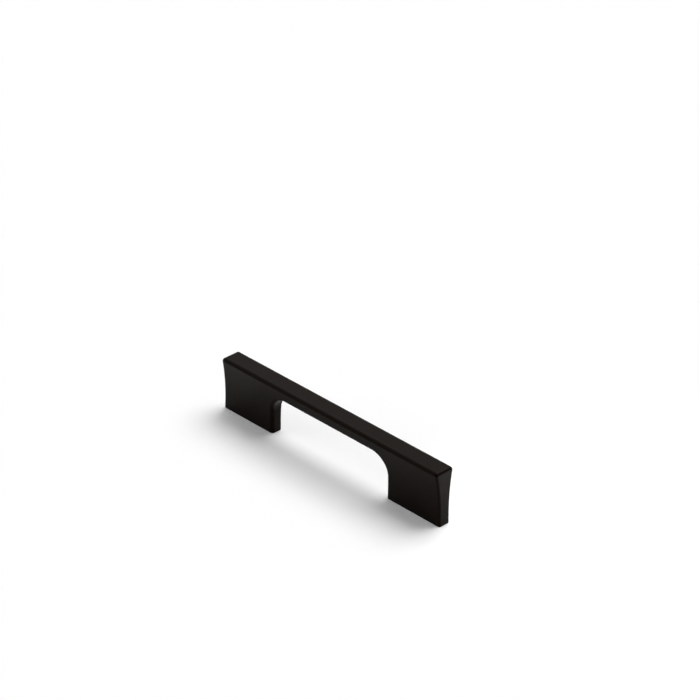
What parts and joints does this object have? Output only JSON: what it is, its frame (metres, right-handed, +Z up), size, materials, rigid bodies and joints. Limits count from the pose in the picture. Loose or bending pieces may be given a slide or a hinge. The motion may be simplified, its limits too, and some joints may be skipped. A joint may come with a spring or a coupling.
{
  "type": "drawer handle",
  "caption": "Satin black bridge-shaped drawer handle: a flat-topped bar on broad feet, flaring outward to the top, with a round-cornered finger gap and tapped holes in the base.",
  "frame": {"origin": "centre of the base plane, midway between the screw holes", "axes": "+X along the bar, +Y across the bar, +Z up from the drawer front to the top of the bar"},
  "size_m": [0.16, 0.012, 0.032],
  "materials": {
    "satin_black_paint": "satin"
  },
  "bodies": {
    "root": {"handle": "satin_black_paint"}
  },
  "joints": []
}
